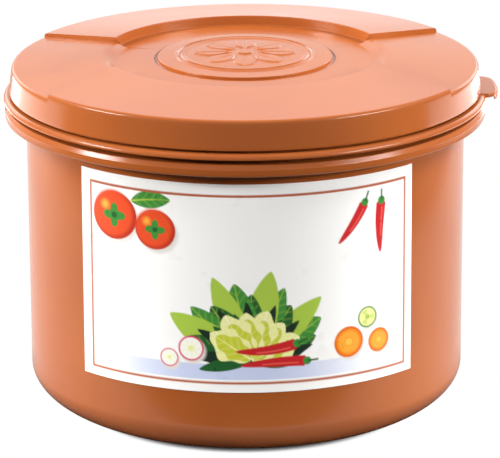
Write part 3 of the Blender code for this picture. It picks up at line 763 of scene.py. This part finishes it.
def makeRibShell(side):
    # A low rounded rib: a corner circle of shrinking radius carried round a rectangle, row by row.
    s = innerShape
    across, back, width, length, height = s["rib"]
    corner, edge = s["ribRound"]
    angle = np.linspace(0.0, 2.0 * np.pi, 32, endpoint=False) + np.pi / 32
    centreX = side * across + np.sign(np.cos(angle)) * (0.5 * width - corner)
    centreY = back + np.sign(np.sin(angle)) * (0.5 * length - corner)
    roll = np.linspace(0.0, 0.5 * np.pi, 6)
    radius = np.concatenate([[corner], corner - edge * (1.0 - np.cos(roll))])[:, None]
    z = plateTop() + np.concatenate([[-0.5 * s["plate"]], height - edge + edge * np.sin(roll)])[:, None]
    grid = joined(centreX + radius * np.cos(angle), centreY + radius * np.sin(angle), z)
    return gridShell(grid, capped=True)


def makeInnerLid():
    shells = [makePlateShell()]
    for side in (-1.0, 1.0):
        shells += [makeEarShell(side), makeRibShell(side)]
    makePiece("innerLid", shells, "inner_lid", "inner_lid", clay)


sealShape = {
    "band": 1.3,  # thickness of the ring
    "lipReach": 1.2,
    "lipHeight": 1.7,
    "lipChamfer": 0.5,
    "columns": 240,
}


def makeSeal():
    # Silicone ring with two lips, turned from a closed section that is the same upside down. A corner
    # is (radius, distance from the upper or lower end, fillet).
    s = sealShape
    low, high = boxInMm("inner_lid_seal")
    lip, top, bottom = high[0], high[2], low[2]
    band = lip - s["lipReach"]
    inner = band - s["band"]
    chamfer, lipHeight = s["lipChamfer"], s["lipHeight"]
    half = [
        (inner, 0.0, 0.2),
        (band, 0.0, 0.3),
        (lip, chamfer, 0.4),
        (lip, lipHeight, 0.4),
        (band, lipHeight + chamfer, 0.4),
    ]
    corners = [(radius, top - down, fillet) for radius, down, fillet in half]
    corners += [(radius, bottom + up, fillet) for radius, up, fillet in half[::-1]]
    grid = turned(roundPath(corners, 1.5, closed=True), s["columns"])
    shell = gridShell(grid, closedAlong=True)
    makePiece("lidSeal", [shell], "inner_lid", "inner_lid_seal", silicone)


handleShape = {
    "halfWidth": 35.0,
    "reach": 32.0,
    "arm": 4.5,
    "grip": 9.0,
    "thickness": 4.0,
    "outerCorner": 12.0,
    "edge": 1.2,  # fillet of the section's edges
    "pinRadius": 2.0,
    "pinColumns": 40,
}


def makeHandle():
    # A bail with a rounded rectangular section. Its two edges, seen from above, share their points one
    # for one, and the section sits on each edge: a point is edge + distance * direction to the other.
    s = handleShape
    half, reach, arm, t = s["halfWidth"], s["reach"], s["arm"], 0.5 * s["thickness"]
    low, high = boxInMm("inner_lid_handle")
    middle = 0.5 * (low[2] + high[2])
    bends = ((half, reach, s["outerCorner"]), (half - arm, reach - s["grip"], s["outerCorner"] - arm))
    outer, inner = ([(x, -t), (x, y, bend), (-x, y, bend), (-x, -t)] for x, y, bend in bends)
    outer, inner = (roundPath(edge, 2.0, arcSteps=12, like=outer) for edge in (outer, inner))
    across = outer - inner
    across = (across / np.linalg.norm(across, axis=1)[:, None])[:, None]
    corners = [(x, z, s["edge"]) for x, z in ((0.0, -t), (arm, -t), (arm, t), (0.0, t))]
    section = roundPath(corners, 1.0, closed=True)
    fromInner, height = section[:, :1], section[:, 1]
    onInner = inner[:, None] + across * fromInner
    onOuter = outer[:, None] - across * (arm - fromInner)
    flat = np.where(fromInner < 0.5 * arm, onInner, onOuter)
    shells = [gridShell(joined(flat[..., 0], flat[..., 1], middle + height), capped=True)]
    root, tip, pinRadius = half - 0.5 * arm, high[0], s["pinRadius"]
    pin = [(0.0, root), (pinRadius, root), (pinRadius, tip, 0.5), (0.0, tip)]
    rod = turned(roundPath(pin, 1.0), s["pinColumns"])
    for side in (-1.0, 1.0):
        shells.append(gridShell(joined(side * rod[..., 2], rod[..., 0], middle + rod[..., 1])))
    makePiece("liftHandle", shells, "handle", "inner_lid_handle", clay)


plugShape = {
    "knobRadius": 3.8,
    "waistRadius": 3.0,
    "headHeight": 2.6,
    "headEdge": 1.6,  # height of the head at its rim
    "stemRadius": 4.7,
    "stemLength": 7.5,
    "straight": 3.8,  # length of the stem over its tapered tip
    "tipRadius": 3.8,
    "columns": 72,
}


def makeValvePlug():
    # A soft stopper turned from a section: tapered stem, flat head and pinched knob.
    s = plugShape
    low, high = boxInMm("valve_plug")
    head, top, bottom = high[0], high[2], low[2]
    seat = bottom + s["stemLength"]
    corners = [
        (0.0, top),
        (s["knobRadius"], top, 1.3),
        (s["waistRadius"], seat + s["headHeight"], 1.2),
        (head, seat + s["headEdge"], 0.9),
        (head, seat, 0.4),
        (s["stemRadius"], seat, 0.2),
        (s["stemRadius"], seat - s["straight"], 0.5),
        (s["tipRadius"], bottom, 0.7),
        (0.0, bottom),
    ]
    shell = gridShell(turned(roundPath(corners, 1.0), s["columns"], (0.0, innerShape["holeOffset"])))
    makePiece("valvePlug", [shell], "valve_plug", "valve_plug", silicone)


makeInnerLid()
makeSeal()
makeHandle()
makeValvePlug()


# Label

labelShape = {
    "span": (-72.2, 73.7),  # ends of the film to the left and right of the front, along the wall
    "radius": 89.62,  # inner face, on the wall
    "thickness": 0.2,
    "frameInset": (5.2, 4.3, 3.9, 4.8),  # left, right, below, above
    "frameWidth": 1.05,
    "band": (4.6, 3.2, 1.2),  # its middle over the frame, its half height, its inset
    "bandFade": (-6.0, 60.0, 45.0, 0.35),  # middle, reach and width of the fade, and its faintest tone
    "across": 416,
    "down": 234,
}

inkColours = {
    "ground": "FBFAF7",
    "frame": "B4603F",
    "band": "C9D2EE",
    "persimmon": "E4502A",
    "persimmonShade": "B93420",
    "carrotSkin": "E2661B",
    "carrot": "F48A22",
    "amber": "FBC04A",
    "yellowGreen": "C8CE3A",
    "leafDark": "245C2C",
    "leafMid": "3F8A3A",
    "leafPale": "A9C74A",
    "heart": "EFEFA0",
    "shadowGreen": "1C2E22",
    "chilli": "C8242A",
    "chilliLight": "EE6A5C",
    "radish": "D8456A",
    "white": "FBFAF4",
    "cast": "E3DDD6",
}


def lay(ink, distance, colour, soft=0.35, strength=1.0):
    # Lays a colour where distance, in millimetres, is below zero, with an edge as wide as soft.
    cover = (strength * np.clip(0.5 - distance / soft, 0.0, 1.0))[..., None]
    ink[:] = ink * (1.0 - cover) + np.array(hexToLinear(inkColours[colour])[:3]) * cover


def bentAxes(u, v, place, angle, length, bend):
    # Distance along a direction from a place, its share t of a length, and distance across a middle
    # line that bends as t squared.
    along, across = rotated(u - place[0], v - place[1], -math.radians(angle))
    t = np.clip(along / length, 0.0, 1.0)
    return along, t, across - bend * t ** 2


def layLeaf(ink, u, v, place, angle, length, width, colour, vein=None, bend=0.0, ruffle=0.0):
    # A leaf: its half width is width * sin(pi t) to the power 0.7, and a ruffle waves its edge.
    along, t, across = bentAxes(u, v, place, angle, length, bend)
    within = (along > 0.0) & (along < length)
    waves = 1.0 + ruffle * np.sin(along * 4.2 / width + np.sign(across))
    distance = np.where(within, np.abs(across) - width * np.sin(np.pi * t) ** 0.7 * waves, 9.0)
    lay(ink, distance, colour)
    if vein:
        lay(ink, np.where(within, np.abs(across) - 0.10 * width * (1.15 - t), 9.0), vein)
        ribs = np.abs(0.5 * (along - np.abs(across)) % 1.8 - 0.9) - 0.16
        lay(ink, np.maximum(ribs, distance + 0.5), vein, strength=0.35)


def layChilli(ink, u, v, place, angle, length, width, bend):
    # A chilli: its half width is width * sqrt(1 - t^1.8); it has a highlight and a stalk.
    along, t, across = bentAxes(u, v, place, angle, length, bend)
    half = width * np.sqrt(1.0 - t ** 1.8) * smooth((along + 0.6) / 1.6)
    distance = np.where((along > -0.6) & (along < length), np.abs(across) - half, 9.0)
    lay(ink, distance, "chilli")
    shine = np.maximum(np.abs(across - 0.35 * half) - 0.12 * width, np.abs(t - 0.4) * length - 0.28 * length)
    lay(ink, shine, "chilliLight", strength=0.8)
    lay(ink, np.hypot(along + 0.2, across) - 0.75 * width, "leafMid")
    stalk = np.maximum(np.abs(across - 0.15 * (along + 1.0)) - 0.4, np.abs(along + 2.6) - 2.2)
    lay(ink, stalk, "leafDark")


def layPersimmon(ink, u, v, place, radius):
    # A round fruit, paler towards one side, with a four-lobed calyx: r = R / 4 (1 + |cos 2a|^1.5).
    du, dv = u - place[0], v - place[1]
    r, a = np.hypot(du, dv * 1.06), np.arctan2(dv, du)
    lay(ink, np.hypot(du - 1.2, dv * 1.06 + 1.6) - radius, "cast", soft=1.6)
    lay(ink, r - radius, "persimmonShade")
    lay(ink, np.hypot(du + 0.08 * radius, dv - 0.08 * radius) - 0.9 * radius, "persimmon", soft=1.8)
    shine = np.hypot(du + 0.42 * radius, dv - 0.36 * radius) - 0.16 * radius
    lay(ink, shine, "amber", soft=2.2, strength=0.8)
    lay(ink, r - 0.25 * radius * (1.0 + np.abs(np.cos(2.0 * a)) ** 1.5), "leafMid")
    lay(ink, r - 0.12 * radius, "leafDark")


def laySlice(ink, u, v, place, radius, rim, flesh, core, spokes):
    # A cut slice: a rim, flesh, n spokes where cos(n a) is high (a ring if n is 0), and a core.
    du, dv = u - place[0], v - place[1]
    r, a = np.hypot(du, dv), np.arctan2(dv, du)
    lay(ink, np.hypot(du - 0.8, dv + 1.2) - radius, "cast", soft=1.4)
    lay(ink, r - radius, rim)
    lay(ink, r - 0.86 * radius, flesh)
    ring = np.abs(r - 0.5 * radius) - 0.22 * radius
    lay(ink, np.maximum(0.12 - np.cos(spokes * a), ring), core, strength=0.45)
    lay(ink, r - 0.24 * radius, core)


drawing = {
    # Places are millimetres to the right of and above the label's middle
    "cabbage": (2.0, -29.0),
    "slices": (  # place, radius, rim, flesh, core, spokes
        ((-22.0, -25.0), 5.2, "radish", "white", "heart", 9),
        ((-31.0, -29.5), 3.8, "radish", "white", "heart", 9),
        ((50.5, -16.0), 4.4, "leafMid", "heart", "leafPale", 3),
        ((42.0, -25.0), 6.4, "carrotSkin", "carrot", "amber", 0),
        ((56.0, -26.5), 5.0, "carrotSkin", "carrot", "amber", 0),
    ),
    "chillies": (  # place of the broad end, direction, length, half width, bend
        ((20.0, -23.0), 196.0, 24.0, 2.3, -4.0),
        ((24.0, -30.5), 176.0, 26.0, 2.2, 3.0),
        ((49.0, 31.5), -118.0, 19.0, 2.2, -3.0),
        ((57.0, 31.0), -98.0, 21.0, 2.3, 2.5),
    ),
    "persimmons": (((-55.0, 26.0), 10.5), ((-36.5, 22.5), 8.6)),  # place and radius
    "loneLeaf": ((-47.0, 33.0), 14.0, 17.0, 3.6),  # place, direction, length, half width
}


def layCabbage(ink, u, v):
    # Three fans of leaves: outer leaves, dark ones between them, and the pale heart.
    place = drawing["cabbage"]
    below = (place[0], place[1] - 1.0)
    shades = ("leafDark", "leafMid", "leafPale")
    for i, angle in enumerate(np.linspace(12.0, 168.0, 13)):
        length = 27.0 + 5.0 * (i % 3)
        layLeaf(ink, u, v, place, angle, length, 5.2 + i % 2, shades[i % 3], "leafPale", bend=3.0 - 0.5 * i)
    for i, angle in enumerate(np.linspace(-4.0, 184.0, 15)):
        shade = "shadowGreen" if i % 2 else "leafDark"
        layLeaf(ink, u, v, below, angle, 21.0 + 4.0 * (i % 2), 2.6, shade, bend=2.0)
    for i, angle in enumerate((24.0, 48.0, 72.0, 96.0, 120.0, 146.0)):
        layLeaf(ink, u, v, place, angle, 21.0 - 1.5 * (i % 2), 6.4, "heart", "white", ruffle=0.16)
        layLeaf(ink, u, v, place, angle, 17.0, 4.4, "yellowGreen", "heart", ruffle=0.14)


def paintLabel(u, v):
    # The print on flat film: white ground, a fading band, the drawing and a thin frame.
    s = labelShape
    ink = np.ones((*u.shape, 3)) * np.array(hexToLinear(inkColours["ground"])[:3])
    insetLeft, insetRight, insetBelow, insetAbove = s["frameInset"]
    left, right = u.min() + insetLeft, u.max() - insetRight
    lower, upper = v.min() + insetBelow, v.max() - insetAbove
    pastSide = np.abs(u - 0.5 * (right + left)) - 0.5 * (right - left)
    pastFrame = np.maximum(pastSide, np.abs(v - 0.5 * (upper + lower)) - 0.5 * (upper - lower))
    bandMiddle, bandHalf, bandInset = s["band"]
    fadeMiddle, fadeReach, fadeWidth, faintest = s["bandFade"]
    band = np.maximum(np.abs(v - lower - bandMiddle) - bandHalf, pastSide + bandInset)
    fade = faintest + (1.0 - faintest) * smooth((fadeReach - np.abs(u - fadeMiddle)) / fadeWidth)
    lay(ink, band, "band", soft=0.4, strength=fade)

    layCabbage(ink, u, v)
    for kind, draw in (("slices", laySlice), ("chillies", layChilli), ("persimmons", layPersimmon)):
        for motif in drawing[kind]:
            draw(ink, u, v, *motif)
    layLeaf(ink, u, v, *drawing["loneLeaf"], "leafMid", "leafPale", bend=-2.0)
    lay(ink, np.abs(pastFrame) - 0.5 * s["frameWidth"], "frame")
    print("label printed")
    return ink


def makeLabel():
    # Film on the wall: a point at u across and v up is at angle u / radius round the pot. The printed
    # face is a fine grid; the face on the wall has one upright quad for each column.
    s = labelShape
    across, down = s["across"], s["down"]
    low, high = boxInMm("front_label")
    u = np.linspace(*s["span"], across)
    v = np.linspace(high[2], low[2], down)
    angle = u / s["radius"] - 0.5 * np.pi
    outer, inner = (
        joined(radius * np.cos(angle), radius * np.sin(angle), v[:, None]).reshape(-1, 3)
        for radius in (s["radius"] + s["thickness"], s["radius"])
    )
    count = across * down
    index = np.arange(count).reshape(down, across)
    loop = np.concatenate([index[0], index[1:, -1], index[-1, -2::-1], index[-2:0:-1, 0]])
    quads = joined(index[:-1, :-1], index[1:, :-1], index[1:, 1:], index[:-1, 1:]).reshape(-1, 4)
    behind = list(range(count, count + len(loop)))
    rim = joined(loop, np.roll(loop, -1), np.roll(behind, -1), behind)
    top = behind[:across]
    right = behind[across - 1:across + down - 1]
    bottom = behind[across + down - 2:2 * across + down - 2][::-1]
    left = behind[2 * across + down - 3:] + behind[:1]
    back = joined(top[1:-2], top[2:-1], bottom[2:-1], bottom[1:-2]).tolist()
    back += [left + [top[1], bottom[1]], [top[-2]] + right + [bottom[-2]]]
    points = np.vstack([outer, inner[loop]])
    shell = (points, quads.tolist() + rim.tolist() + back)
    label = makePiece("frontLabel", [shell], "pot", "front_label", film)

    ink = paintLabel(*np.meshgrid(u, v - v.mean()))
    colours = np.ones((len(points), 4))
    colours[:count, :3] = ink.reshape(-1, 3)
    colours[count:, :3] = hexToLinear(inkColours["ground"])[:3]
    layer = label.data.color_attributes.new("ink", "FLOAT_COLOR", "POINT")
    layer.data.foreach_set("color", colours.astype(np.float32).ravel())


makeLabel()


# Floor, light and camera

stageLook = {
    "floorHex": "B0AEAA",
    "sheet": (-0.43, 0.36, -0.125, 0.50),  # left, right, front and back edge, in metres
    "contactMm": 3.6,  # reach of the painted contact shadow where the pot meets the floor
    "contactRange": (0.30, 0.50),  # openness at which that line is darkest, and gone
    "contactTone": 0.02,
    "shadeMm": 45.0,  # reach of the pot's shade on the floor
    "shadePower": 2.4,  # how fast that shade falls off in reflections
    "ambient": 0.55,  # how much of its brightness the room gives as light
    "sideDark": 0.36,  # how bright the room is beside and before the pot
    "sideFade": (0.5, 0.85),  # how far to the back the room begins to turn white, and is white
    "belowDark": 0.15,  # how bright it is under the edge of the sheet
    "belowFade": (-0.08, 0.0),
}


def sortRays(tree):
    # 1 for camera rays, and 1 for camera, glossy and transmission rays. The rest is light on things.
    rays = addNode(tree, "ShaderNodeLightPath").outputs
    mirror = combined(tree, "MAXIMUM", rays["Is Glossy Ray"], rays["Is Transmission Ray"])
    return rays["Is Camera Ray"], combined(tree, "MAXIMUM", rays["Is Camera Ray"], mirror)


def floorMaterial():
    # White card: lit as card by the lamps, with painted shade turning its colour black near the pot, and
    # plain white to the camera and in reflections, apart from a painted shadow close under the pot.
    look = stageLook
    material = bpy.data.materials.new("White card floor")
    material.use_nodes = True
    tree = material.node_tree
    tree.nodes.clear()
    contact, shade = (
        addNode(tree, "ShaderNodeAmbientOcclusion", {"Distance": look[key] * mm}, samples=24).outputs["AO"]
        for key in ("contactMm", "shadeMm")
    )
    fromCamera, seen = sortRays(tree)
    # Painted shade: the card's colour turns black near the pot, on top of the shadows the lamps cast.
    card = addNode(tree, "ShaderNodeBsdfDiffuse", {"Color": mixed(tree, shade, "000000", look["floorHex"])})
    # Painted shadow in reflections: the white that the pot mirrors fades to black near it.
    mirrored = combined(tree, "POWER", shade, look["shadePower"])
    # Painted contact shadow: the white that the camera sees turns nearly black where the pot meets the
    # floor.
    line = ranged(tree, contact, *look["contactRange"], look["contactTone"], 1.0)
    bright = mixed(tree, fromCamera, mirrored, line)
    glow = addNode(tree, "ShaderNodeEmission", {"Color": bright, "Strength": 1.0})
    both = addNode(tree, "ShaderNodeMixShader", {0: seen, 1: card.outputs[0], 2: glow.outputs[0]})
    addNode(tree, "ShaderNodeOutputMaterial", {"Surface": both.outputs[0]})
    return material


def makeFloor():
    left, right, front, back = stageLook["sheet"]
    mesh = bpy.data.meshes.new("floor")
    corners = [(left, front, 0.0), (right, front, 0.0), (right, back, 0.0), (left, back, 0.0)]
    mesh.from_pydata(corners, [], [(0, 1, 2, 3)])
    mesh.materials.append(floorMaterial())
    floor = addObject("floor", mesh)


def makeWorld():
    # A room with a white back wall and unlit side and front walls. The camera sees plain white everywhere.
    look = stageLook
    world = bpy.data.worlds.new("studio")
    bpy.context.scene.world = world
    world.use_nodes = True
    tree = world.node_tree
    tree.nodes.clear()
    direction = addNode(tree, "ShaderNodeTexCoord").outputs["Generated"]
    axes = addNode(tree, "ShaderNodeSeparateXYZ", {0: direction}).outputs
    wall = ranged(tree, axes["Y"], *look["sideFade"], look["sideDark"], 1.0)
    below = ranged(tree, axes["Z"], *look["belowFade"], look["belowDark"], 1.0)
    fromCamera, seen = sortRays(tree)
    level = ranged(tree, seen, 0.0, 1.0, look["ambient"], 1.0)
    lit = combined(tree, "MULTIPLY", combined(tree, "MULTIPLY", wall, below), level)
    strength = ranged(tree, fromCamera, 0.0, 1.0, lit, 1.0)
    background = addNode(tree, "ShaderNodeBackground", {"Color": "FFFFFF", "Strength": strength})
    addNode(tree, "ShaderNodeOutputWorld", {"Surface": background.outputs[0]})


softboxes = {
    # Azimuth from the camera's side, elevation, distance in metres, size in metres, radiance, and
    # whether it is seen in reflections
    "leftSoftbox": (-72.0, 20.0, 1.5, (0.50, 0.26), 32.0, True),
    "leftFill": (-72.0, 20.0, 1.5, (0.50, 0.26), 28.0, False),
    "rightSoftbox": (59.5, 20.0, 1.5, (0.69, 0.26), 17.0, True),
    "rightFill": (59.5, 20.0, 1.5, (0.69, 0.26), 19.0, False),
    "upperLeftLamp": (-100.0, 38.0, 1.5, (0.8, 0.5), 20.0, False),
    "upperRightLamp": (100.0, 38.0, 1.5, (0.8, 0.5), 20.0, False),
    "leftBackPanel": (-150.0, 19.0, 1.9, (0.9, 0.6), 2.0, True),
    "rightBackPanel": (150.0, 19.0, 1.9, (0.9, 0.6), 2.2, True),
    "leftStrip": (-147.0, -8.0, 1.4, (0.30, 0.20), 6.0, True),
    "rightStrip": (152.0, -8.0, 1.4, (0.30, 0.20), 9.0, True),
    "leftPanel": (-122.0, -8.0, 1.3, (1.3, 0.16), 3.5, True),
    "rightPanel": (122.0, -8.0, 1.3, (1.3, 0.16), 3.3, True),
    "overheadPanel": (180.0, 70.0, 1.5, (1.6, 1.3), 0.4, True),
    "upperBackPanel": (180.0, 34.0, 1.9, (3.0, 0.7), 0.65, True),
    "lowerBackPanel": (180.0, 4.0, 1.9, (2.6, 0.35), 0.5, True),
}


def makeSoftboxes():
    # Each softbox looks at the pot's middle: place = target + distance * direction.
    target = Vector((0.0, 0.0, 0.5 * cadHigh.z))
    for name, (azimuth, elevation, distance, size, radiance, mirrored) in softboxes.items():
        a, e = math.radians(azimuth), math.radians(elevation)
        out = Vector((math.sin(a) * math.cos(e), -math.cos(a) * math.cos(e), math.sin(e)))
        lamp = bpy.data.lights.new(name, "AREA")
        lamp.shape = "RECTANGLE"
        lamp.size, lamp.size_y = size
        lamp.energy = math.pi * size[0] * size[1] * radiance
        holder = addObject(name, lamp)
        holder.location = target + distance * out
        holder.visible_glossy = mirrored
        holder.rotation_euler = out.to_track_quat("Z", "Y").to_euler()


cameraView = {
    "place": (0.0, -1.520, 0.5413),
    "pitchDown": 17.132,
    "yaw": 0.0655,
    "roll": -0.2768,
    "lens": 276.7,
}


def makeCamera():
    # A long lens from a little above: rolled about its own axis, tilted up from straight down, then
    # turned about the upright axis.
    s = cameraView
    roll = Matrix.Rotation(math.radians(s["roll"]), 4, "Z")
    tilt = Matrix.Rotation(math.radians(90.0 - s["pitchDown"]), 4, "X")
    yaw = Matrix.Rotation(math.radians(-s["yaw"]), 4, "Z")
    lens = bpy.data.cameras.new("camera")
    lens.lens = s["lens"]
    lens.sensor_width = 36.0
    camera = addObject("camera", lens)
    camera.matrix_world = Matrix.Translation(s["place"]) @ yaw @ tilt @ roll
    bpy.context.scene.camera = camera


makeFloor()
makeWorld()
makeSoftboxes()
makeCamera()
bpy.context.scene.view_settings.view_transform = "Standard"
print("stage, light and camera ready")
